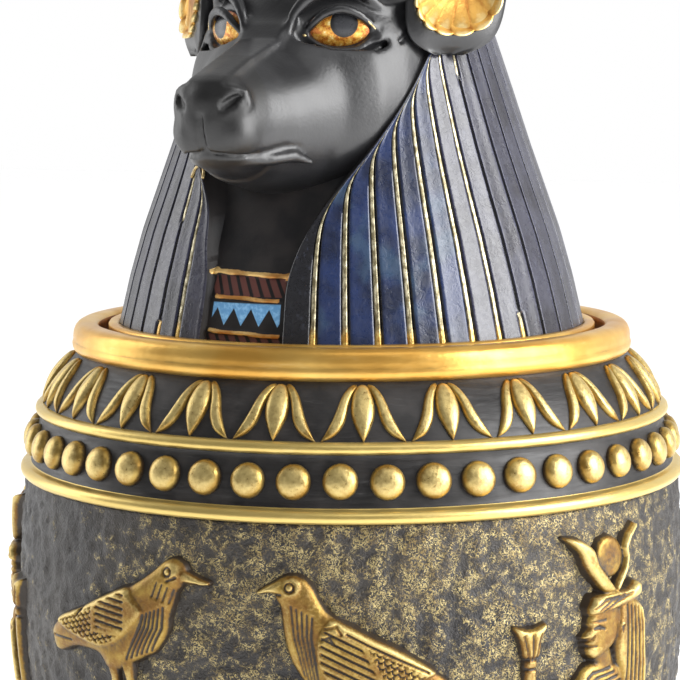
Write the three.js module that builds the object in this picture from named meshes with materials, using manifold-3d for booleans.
// Canopic jar, a cold-cast resin copy: a hollow body with raised bands and a relief frieze, and a
// jackal-headed lid that lifts off. Millimetres, +Z up, front towards -Y, origin at the centre of
// the underside.
import * as THREE from 'three';
import { mergeVertices } from 'three/addons/utils/BufferGeometryUtils.js';
import Module from 'manifold-3d';

const wasm = await Module();
wasm.setup();

// ---------------------------------------------------------------- driving dimensions
const RIM_Z = 165;                 // height of the rim band's lower edge above the table
const BASE_R = 53;                 // radius at the foot
const BELLY_R = 72;                // widest radius
const BELLY_DROP = 52;             // widest level, below the rim
const FIELD_TOP = 26.1;            // top of the frieze field, below the rim
const FIELD_BOTTOM_Z = 24;         // lower end of the frieze field
const WALL = 4.5;                  // wall of the body
const FLOOR = 6;                   // thickness of the bottom
const MOUTH_R = 47.5;              // opening that the lid's spigot drops into
const RECESS_R = 54.3;             // recess in the rim that holds the lid's flange
const LEDGE_Z = RIM_Z + 2.5;       // ledge that carries the lid
const RIM_TOP_Z = RIM_Z + 6;       // top of the rim band
const REST_GAP = 0.3;              // film of air under the lid's flange

const LOTUS_COUNT = 24;
const LOTUS_TURN = -1.05;          // degrees from the front to the nearest lotus
const BEAD_COUNT = 48;
const BEAD_TURN = 2.7;
const BEAD_R = 3.9;
const BEAD_RISE = 2.1;
const BEAD_SIDES = 8;
const FRIEZE_TURN = 8.3;           // degrees from the front to the middle of the frieze
const RELIEF = 2;                  // how far the figures stand out
const SINK = 1.2;                  // how deep a raised motif is rooted in its ground

const FLANGE_R = 52.2;
const SPIGOT_R = 46.8;
const SPIGOT_DROP = 9;             // spigot's lower end, below the rim
const WIG_FOOT = 5.8;              // level of the flange's top, above the rim
const PANEL_ANGLE = 11;            // half angle of the chest panel between the lappets
const PANEL_RECESS = 1.8;
const FIRST_GROOVE = 17.6;         // degrees from the front to the first groove of the wig
const GROOVES_PER_SIDE = 22;
const GROOVE_DEPTH = 0.9;

const BODY_SIDES = 48;
const HOLLOW_SIDES = 24;
const FLANGE_SIDES = 36;

// ---------------------------------------------------------------- solids from meshes
function solid(geometry) {
  geometry.deleteAttribute('normal');
  geometry.deleteAttribute('uv');
  const merged = mergeVertices(geometry, 1e-4);
  const corners = [];
  for (let i = 0; i < merged.index.count; i += 3) {
    const [a, b, c] = [0, 1, 2].map((k) => merged.index.getX(i + k));
    if (a !== b && b !== c && c !== a) corners.push(a, b, c);
  }
  return new wasm.Manifold(new wasm.Mesh({
    numProp: 3,
    vertProperties: new Float32Array(merged.attributes.position.array),
    triVerts: new Uint32Array(corners),
  }));
}

function toMesh(manifold, name, look) {
  const data = manifold.getMesh();
  const geometry = new THREE.BufferGeometry();
  geometry.setAttribute('position', new THREE.BufferAttribute(data.vertProperties, 3));
  geometry.setIndex(new THREE.BufferAttribute(data.triVerts, 1));
  geometry.computeVertexNormals();
  const mesh = new THREE.Mesh(geometry, new THREE.MeshStandardMaterial(look));
  mesh.name = name;
  return mesh;
}

// Turns rings of points, in order, into one closed skin. A first or last ring of one point is a
// pole, and any other end ring gets a fan over it.
function loft(rings) {
  const middle = (ring) => ring.reduce((sum, p) => sum.add(p), new THREE.Vector3())
    .divideScalar(ring.length);
  const skin = [...rings];
  if (skin[0].length > 1) skin.unshift([middle(skin[0])]);
  if (skin[skin.length - 1].length > 1) skin.push([middle(skin[skin.length - 1])]);
  const points = skin.flat();
  const faces = [];
  let start = 0;
  for (let r = 0; r + 1 < skin.length; r += 1) {
    const [here, next] = [skin[r].length, skin[r + 1].length];
    for (let i = 0; i < Math.max(here, next); i += 1) {
      const [a, b] = [start + (i % here), start + ((i + 1) % here)];
      const [c, d] = [start + here + (i % next), start + here + ((i + 1) % next)];
      if (here > 1) faces.push(a, b, c);
      if (next > 1) faces.push(b, d, c);
    }
    start += here;
  }
  let volume = 0;
  for (let i = 0; i < faces.length; i += 3) {
    volume += points[faces[i]].dot(points[faces[i + 1]].clone().cross(points[faces[i + 2]]));
  }
  if (volume < 0) faces.reverse();
  const geometry = new THREE.BufferGeometry().setFromPoints(points);
  geometry.setIndex(faces);
  return solid(geometry);
}

// Turns an outline of [radius, height] points round the Z axis, with a corner at a given turn.
function turned(profile, sides, turn = 0) {
  const lathe = new THREE.LatheGeometry(profile.map(([r, z]) => new THREE.Vector2(r, z)), sides);
  return solid(lathe.rotateX(Math.PI / 2).rotateZ(rad(turn)));
}

const union = (solids) => solids.reduce((whole, next) => whole.add(next));
const rad = THREE.MathUtils.degToRad;
const mix = THREE.MathUtils.lerp;

// Point at a turn from the front (degrees, positive towards +X), a radius and a height.
function around(turn, radius, z) {
  return new THREE.Vector3(radius * Math.sin(rad(turn)), -radius * Math.cos(rad(turn)), z);
}

// Reads y at x from a list of [x, y] pairs, in straight steps.
function along(pairs, x) {
  const last = pairs.length - 1;
  const i = Math.min(Math.max(pairs.findIndex((p) => p[0] > x), 1), last);
  const next = x >= pairs[last][0] ? last : i;
  const [a, b] = [pairs[next - 1], pairs[next]];
  return mix(a[1], b[1], THREE.MathUtils.clamp((x - a[0]) / (b[0] - a[0]), 0, 1));
}

// ---------------------------------------------------------------- the body's outline
// Radius of the frieze field: a bow round the belly that runs straight down to the foot.
const BOW_UP = 0.0025;
const BOW_DOWN = 0.0037;
const TAPER_FROM = 36.5;
function fieldRadius(z) {
  const drop = RIM_Z - z - BELLY_DROP;
  if (drop < 0) return BELLY_R - BOW_UP * drop * drop;
  const bowed = Math.min(drop, TAPER_FROM);
  const straight = Math.max(drop - TAPER_FROM, 0);
  return BELLY_R - BOW_DOWN * bowed * bowed - 2 * BOW_DOWN * TAPER_FROM * straight;
}

// Grounds of the lotus and bead bands, as [height, radius].
const shoulder = [[-11, 66.4], [-0.3, 59]].map(([dz, r]) => [RIM_Z + dz, r]);
const beadGround = [[-23.4, 69.2], [-13.4, 66.6]].map(([dz, r]) => [RIM_Z + dz, r]);

// Outside of the body with its rings, from the middle of the foot up to the rim.
function outerProfile() {
  const foot = [[0, 0], [BASE_R - 1.4, 0], [BASE_R, 3], [BASE_R - 2, 6.4]];
  const lowerRing = [[fieldRadius(17) - 0.6, 17], [fieldRadius(20) + 1.3, 20],
    [fieldRadius(23), 23]];
  const rows = 4;
  const field = Array.from({ length: rows }, (_, i) => {
    const z = mix(FIELD_BOTTOM_Z + 24, RIM_Z - FIELD_TOP, i / (rows - 1));
    return [fieldRadius(z), z];
  });
  const bands = [[71, -25.6], [70.8, -23.8], ...[beadGround, shoulder].flat()
    .map(([z, r]) => [r, z - RIM_Z]), [59.9, 2.4], [58.3, 6]];
  bands.splice(4, 0, [67.7, -13], [67.4, -11.4]);
  return [...foot, ...lowerRing, ...field, ...bands.map(([r, dz]) => [r, RIM_Z + dz]),
    [0, RIM_TOP_Z]];
}

// The hollow: floor, wall, mouth, ledge and the recess that the lid's flange sits in.
function innerProfile() {
  const wall = [FLOOR + 6, 60, RIM_Z - BELLY_DROP, RIM_Z - 24].map((z) => [
    fieldRadius(z) - WALL, z]);
  return [[0, FLOOR], [BASE_R - WALL - 6, FLOOR], ...wall, [MOUTH_R, RIM_Z - 6],
    [MOUTH_R, LEDGE_Z], [RECESS_R, LEDGE_Z], [RECESS_R, RIM_TOP_Z + 2], [0, RIM_TOP_Z + 2]];
}

// ---------------------------------------------------------------- bands of raised ornament
// A petal: a keel that runs down the shoulder between two edges rooted in the ground.
// Each station is [degrees from the lotus's axis, height from the rim, half width, keel height],
// and one with no width is a tip.
function petal(turn, stations) {
  return loft(stations.map(([offset, dz, half, keel]) => {
    const z = RIM_Z + dz;
    const r = along(shoulder, z);
    const spread = THREE.MathUtils.radToDeg(half / r);
    if (half === 0) return [around(turn + offset, r, z)];
    return [
      around(turn + offset - spread, r - SINK, z - 0.4),
      around(turn + offset, r + keel, z + 0.8 * keel),
      around(turn + offset + spread, r - SINK, z - 0.4),
    ];
  }));
}

function lotus(turn) {
  const middle = [[0, -0.9, 0, 0], [0, -5, 2.3, 1.5], [0, -10.9, 0, 0]];
  const side = [[1.2, -0.9, 0, 0], [3.9, -5.6, 1.5, 1.2], [7.3, -10.9, 0, 0]];
  const mirrored = side.map(([offset, ...rest]) => [-offset, ...rest]);
  return [petal(turn, middle), petal(turn, side), petal(turn, mirrored)];
}

// A bead: a low dome whose foot is sunk in the band.
function bead(turn) {
  const z = RIM_Z - 18.4;
  const seat = along(beadGround, z);
  const rings = [[BEAD_R, -0.5, BEAD_SIDES], [0, BEAD_RISE, 1]];
  return loft(rings.map(([r, out, length]) => Array.from({ length }, (_, i) => {
    const angle = (2 * Math.PI * i) / length;
    const spread = THREE.MathUtils.radToDeg((r * Math.cos(angle)) / seat);
    return around(turn + spread, seat + out, z + r * Math.sin(angle));
  })));
}

// ---------------------------------------------------------------- the frieze
// A raised stroke on the field, a keel if it is narrow and flat-topped if it is broad. Each
// station is [millimetres from the frieze's middle, depth below the rim, half width, height].
const BROAD = 3;
function stroke(stations) {
  const place = (s, drop, out) => {
    const z = RIM_Z - drop;
    return around(FRIEZE_TURN + THREE.MathUtils.radToDeg(s / BELLY_R), fieldRadius(z) + out, z);
  };
  const broad = Math.max(...stations.map((station) => station[2])) > BROAD;
  const top = broad ? [-0.6, 0.6] : [0];
  return loft(stations.map(([s, drop, half, height], i) => {
    const before = stations[Math.max(i - 1, 0)];
    const after = stations[Math.min(i + 1, stations.length - 1)];
    const way = new THREE.Vector2(after[0] - before[0], after[1] - before[1]).normalize();
    const side = half * (broad ? 1 : 1.25);
    return [[-1, -SINK], ...top.map((t) => [t, height]), [1, -SINK]]
      .map(([t, out]) => place(s - t * side * way.y, drop + t * side * way.x, out));
  }));
}

const mirrorStations = (stations) => stations.map(([s, ...rest]) => [-s, ...rest]);

// Bird facing the middle: head with beak, breast, folded wing and two legs with their feet.
function bird({ beak, lean }) {
  const at = ([s, drop, half, height]) => [s + lean * (drop - beak[1]), drop, half, height];
  const [s0, d0] = beak;
  const leg = (s) => [[s, d0 + 17, 1.2, 1.5], [s + 0.4, d0 + 27.4, 0.8, 1.2],
    [s - 4, d0 + 28.4, 0.7, 1.1]];
  return [
    [[s0, d0, 0.3, 0.6], [s0 + 3.4, d0 - 0.8, 1.2, 1.4], [s0 + 6.6, d0 - 1.2, 3.1, RELIEF],
      [s0 + 9.4, d0, 1.6, 1.4]],
    [[s0 + 7, d0 - 1.4, 2.6, 1.7], [s0 + 8.6, d0 + 5, 4.6, RELIEF], [s0 + 11.4, d0 + 11, 6.4, RELIEF],
      [s0 + 18, d0 + 16.4, 4.6, 1.8], [s0 + 26, d0 + 19, 1, 1]],
    [[s0 + 11, d0 + 4, 1.6, 2.2], [s0 + 19, d0 + 9.6, 4.4, 2.6], [s0 + 33.6, d0 + 15.4, 1, 1.4]],
    leg(s0 + 14.5), leg(s0 + 20.5),
  ].map((stations) => stations.map(at));
}

// Papyrus sceptre: a flared cup on a long stalk.
function sceptre(s) {
  return [
    [[s, 47.3, 3.6, 1.9], [s, 53.6, 1.9, 1.4]],
    [[s, 52.6, 1.1, 1.3], [s, 84, 0.9, 1.2], [s, 115, 0.9, 1.2]],
  ];
}

// Standing goddess with a sun disk between horns, seen from the side, facing -s.
function goddess(s) {
  const horns = [[[-13, 31.4], [-7.6, 35.6], [-2.2, 42.8]], [[9.5, 31.2], [5.4, 36.4], [-0.8, 42.8]]]
    .map((points) => points.map(([ds, drop], i) => [s + ds, drop, i === 1 ? 1 : 0.6, 1.8]));
  const disk = [[s - 1.2, 31.8, 1.4, 1.4], [s - 1.2, 36.4, 3.8, 1.4], [s - 1.2, 41.6, 1.4, 1.4]];
  const cap = [[s - 6.6, 45.4, 1, 2.2], [s, 44, 1.9, 2.6], [s + 6.6, 43.8, 1, 2]];
  const face = [[s - 1.8, 45.4, 4.8, RELIEF], [s - 2, 50.4, 5.4, RELIEF], [s - 3.2, 54.8, 2.4, 1.6]];
  const hair = [[s + 4.4, 44.4, 3.4, 2], [s + 6.2, 54, 4.6, 2.4], [s + 6.8, 66, 3.6, 1.6]];
  const dress = [[s - 1, 54, 3, 1.6], [s - 1, 59.4, 8, RELIEF], [s - 1, 75, 4.6, RELIEF],
    [s, 87, 6.4, RELIEF], [s, 113.4, 5.4, RELIEF]];
  const fore = [[s - 6.6, 60, 1.7, 2], [s - 13, 70, 1.3, 2], [s - 23.5, 72.4, 1.2, 2]];
  const feet = [[s - 11, 115, 0.8, 1.2], [s + 5, 114.4, 1.3, 1.8]];
  return [...horns, disk, cap, face, hair, dress, fore, feet];
}

function frieze() {
  const ground = (s, drop, reach) => [-1, 0, 1].map((t) => [s + t * reach, drop, 0.9, 1.3]);
  const right = [...bird({ beak: [5.3, 39], lean: 0 }), ...sceptre(59.5), ...goddess(82)];
  const left = [...bird({ beak: [5.5, 38.5], lean: 0.28 }), ...sceptre(71.5), ...goddess(94)];
  const perch = [ground(24, 68.5, 17)];
  const floor = (s) => [ground(s, 117, 26)];
  const leftSide = [...left, ...perch, ...floor(87)].map(mirrorStations);
  return [...right, ...perch, ...floor(75), ...leftSide].map(stroke);
}

function jarBody() {
  const shell = turned(outerProfile(), BODY_SIDES, BEAD_TURN + 180 / BODY_SIDES);
  const ornament = [...frieze()];
  for (let i = 0; i < LOTUS_COUNT; i += 1) {
    ornament.push(...lotus(LOTUS_TURN + (360 / LOTUS_COUNT) * i));
  }
  for (let i = 0; i < BEAD_COUNT; i += 1) ornament.push(bead(BEAD_TURN + (360 / BEAD_COUNT) * i));
  return union([shell, ...ornament]).subtract(turned(innerProfile(), HOLLOW_SIDES));
}

// ---------------------------------------------------------------- the lid
// Radius of the wig's outside, as [height above the rim, radius].
const wigOutline = [[WIG_FOOT - 0.5, 49.9], [16, 47.4], [25.7, 44.6], [32.7, 42.1], [43.4, 38.3],
  [54.8, 34.5], [66.9, 30.4], [73, 27.2], [78, 22.5], [82, 15], [84, 6]];

// Half angle of the wig's opening: the chest panel below, then the face, wider and wider.
const OPENING_BEND = 14;
const OPENING_BOW = 0.0262;
const OPENING_RUN = 24;
function openingAngle(h) {
  const up = Math.max(h - OPENING_BEND, 0);
  const bowed = Math.min(up, OPENING_RUN);
  return PANEL_ANGLE + OPENING_BOW * bowed * bowed + 2 * OPENING_BOW * OPENING_RUN * (up - bowed);
}

// Where a line that starts at a turn on the wig's foot has got to at a height: it leans forward
// a little at the sides and is pushed aside by the face.
function lineTurn(foot, h) {
  const leaned = foot - 5 * Math.sin(rad(foot)) ** 2 * Math.min(h / 60, 1);
  const edge = openingAngle(h);
  return 0.5 * (leaned + edge + Math.hypot(leaned - edge, 4));
}

function wig() {
  const pitch = (180 - FIRST_GROOVE) / (GROOVES_PER_SIDE - 1);
  const rows = [WIG_FOOT - 0.5, 19, 34, 58, 69, 78];
  return loft(rows.map((h) => {
    const outer = along(wigOutline, h);
    const edge = openingAngle(h);
    const recess = PANEL_RECESS + 0.22 * Math.max(h - OPENING_BEND, 0);
    const half = [[edge * 0.4, outer - recess], [edge * 0.97, outer - recess], [edge, outer]];
    const relief = h > 62 ? 0.3 : 1;
    for (let i = 0; i < GROOVES_PER_SIDE; i += 1) {
      const groove = FIRST_GROOVE + pitch * i;
      const turn = Math.min(lineTurn(groove, h), 180);
      half.push([turn, outer - GROOVE_DEPTH * relief]);
      if (i + 1 < GROOVES_PER_SIDE) half.push([lineTurn(groove + pitch / 2, h), outer]);
    }
    half[half.length - 1][0] = 180;
    const other = half.slice(0, -1).reverse().map(([turn, r]) => [-turn, r]);
    return [...half, ...other].map(([turn, r]) => around(turn, Math.max(r, 2), RIM_Z + h));
  }));
}

// The head along its length: [reach in front of the axis, half width, widest level,
// rise above it, drop below it, fullness of the upper half]. Levels are above the rim.
const headSections = [
  [-18, 10, 66, 9, 8, 2], [-10, 20, 64, 20, 10, 2.1], [2, 25.5, 61, 26.5, 17, 2.2],
  [14, 26.5, 58, 29.5, 23, 2.1], [23, 24.5, 55, 28.5, 22, 1.9], [30, 21.5, 53, 25, 20, 1.8],
  [36, 17.8, 51.5, 18.5, 18, 1.6], [41, 14.6, 50.5, 14.6, 16, 1.5], [47, 12, 49.8, 13.4, 14, 1.5],
  [53, 10, 49.2, 12, 11.6, 1.6], [58, 8.8, 48.8, 10.4, 9, 1.8], [61.5, 7.6, 48.8, 8.6, 7, 2.2],
  [63.2, 4.4, 49.5, 6, 4.6, 2.2],
];

function headRing([reach, half, level, rise, drop, fullness]) {
  const corners = 14;
  return Array.from({ length: corners }, (_, i) => {
    const angle = (2 * Math.PI * i) / corners;
    const [c, s] = [Math.cos(angle), Math.sin(angle)];
    const power = 2 / (s > 0 ? fullness : 2.2);
    const x = half * Math.sign(c) * Math.abs(c) ** power;
    const z = (s > 0 ? rise : drop) * Math.sign(s) * Math.abs(s) ** power;
    return new THREE.Vector3(x, -reach, RIM_Z + level + z);
  });
}

function egg(center, size, yaw) {
  const sphere = new THREE.SphereGeometry(1, 7, 5);
  sphere.scale(...size).rotateZ(rad(yaw));
  return solid(sphere.translate(center[0], center[1], RIM_Z + center[2]));
}

// An upright ear: a leaf whose front is hollowed, standing on a rounded cup.
function ear(side) {
  const rows = [[60, 5, 0.6], [65.5, 9.4, 2.6], [72, 12, 4.4], [81, 11.2, 4.2], [90, 7.4, 2.8],
    [98, 1.6, 0.8]];
  const facing = 50 * side;
  const corners = 6;
  return loft(rows.map(([h, half, hollow]) => {
    const middle = new THREE.Vector3(side * (28.5 + 0.06 * (h - 60)), -(12 - 0.16 * (h - 60)), 0);
    const across = around(facing + 90, 1, 0);
    const out = around(facing, 1, 0);
    const ring = [];
    for (let i = 0; i < corners; i += 1) {
      const t = mix(-1, 1, i / (corners - 1));
      ring.push([t * half, -hollow * (1 - t * t) * 0.55]);
    }
    for (let i = corners - 2; i > 0; i -= 1) {
      const t = mix(-1, 1, i / (corners - 1));
      ring.push([t * half * 1.05, -hollow * (1 - t * t) - 2.2]);
    }
    return ring.map(([a, o]) => middle.clone().addScaledVector(across, a).addScaledVector(out, o)
      .setZ(RIM_Z + h));
  }));
}

function jackalHead() {
  const parts = [loft(headSections.map(headRing))];
  for (const side of [-1, 1]) {
    parts.push(ear(side));
    parts.push(egg([side * 13.2, -27, 68.6], [7.6, 3.8, 5], side * 31));
    parts.push(egg([side * 4, -59.8, 47.6], [4.2, 3.4, 5], side * 20));
  }
  return parts;
}

function jackalLid() {
  const seat = LEDGE_Z + REST_GAP;
  const disc = turned([[0, RIM_Z - SPIGOT_DROP], [SPIGOT_R, RIM_Z - SPIGOT_DROP],
    [SPIGOT_R, seat], [FLANGE_R, seat],
    [FLANGE_R, RIM_Z + WIG_FOOT], [0, RIM_Z + WIG_FOOT]], FLANGE_SIDES);
  const hollow = turned([[0, RIM_Z - SPIGOT_DROP - 2], [SPIGOT_R - 6, RIM_Z - SPIGOT_DROP - 2],
    [SPIGOT_R - 6, RIM_Z + 4], [33, RIM_Z + 26], [24, RIM_Z + 50], [12, RIM_Z + 58],
    [0, RIM_Z + 60]], 16);
  return union([disc, wig(), ...jackalHead()]).subtract(hollow);
}

// ---------------------------------------------------------------- the model
const jar = new THREE.Group();
jar.add(toMesh(jarBody(), 'jar_body', { color: 0x4a4238, roughness: 0.55, metalness: 0.35 }));
jar.add(toMesh(jackalLid(), 'jackal_lid', { color: 0x22242c, roughness: 0.4, metalness: 0 }));

export default jar;
